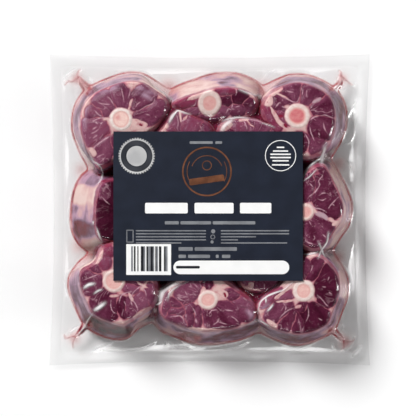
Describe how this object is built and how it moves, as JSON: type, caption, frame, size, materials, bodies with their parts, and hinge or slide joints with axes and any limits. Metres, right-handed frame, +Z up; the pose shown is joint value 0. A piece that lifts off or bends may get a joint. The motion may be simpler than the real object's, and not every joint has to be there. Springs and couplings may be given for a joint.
{
  "type": "vacuum-packed goat leg slices",
  "caption": "Clear vacuum pouch of bone-in goat leg slices, lying flat, with a dark printed card label on top.",
  "frame": {"origin": "centre of the pouch's outline, on the surface that it lies on", "axes": "+X across the pouch, its longest side, +Y along it towards the label's upper edge, +Z up out of the shown side"},
  "size_m": [0.305, 0.296, 0.0446],
  "materials": {
    "film": "clear glossy vacuum film drawn tight over dark red meat, cream fat and bone",
    "card": "satin coated card, slate blue-black, with pale and copper print fields",
    "meat": "wet raw goat leg meat with cream fat, violet membrane and cut bone",
    "juice": "thin pink-red meat juice held in the creases of the film"
  },
  "bodies": {
    "root": {"vacuum_bag": "film", "label": "card"}
  },
  "joints": []
}
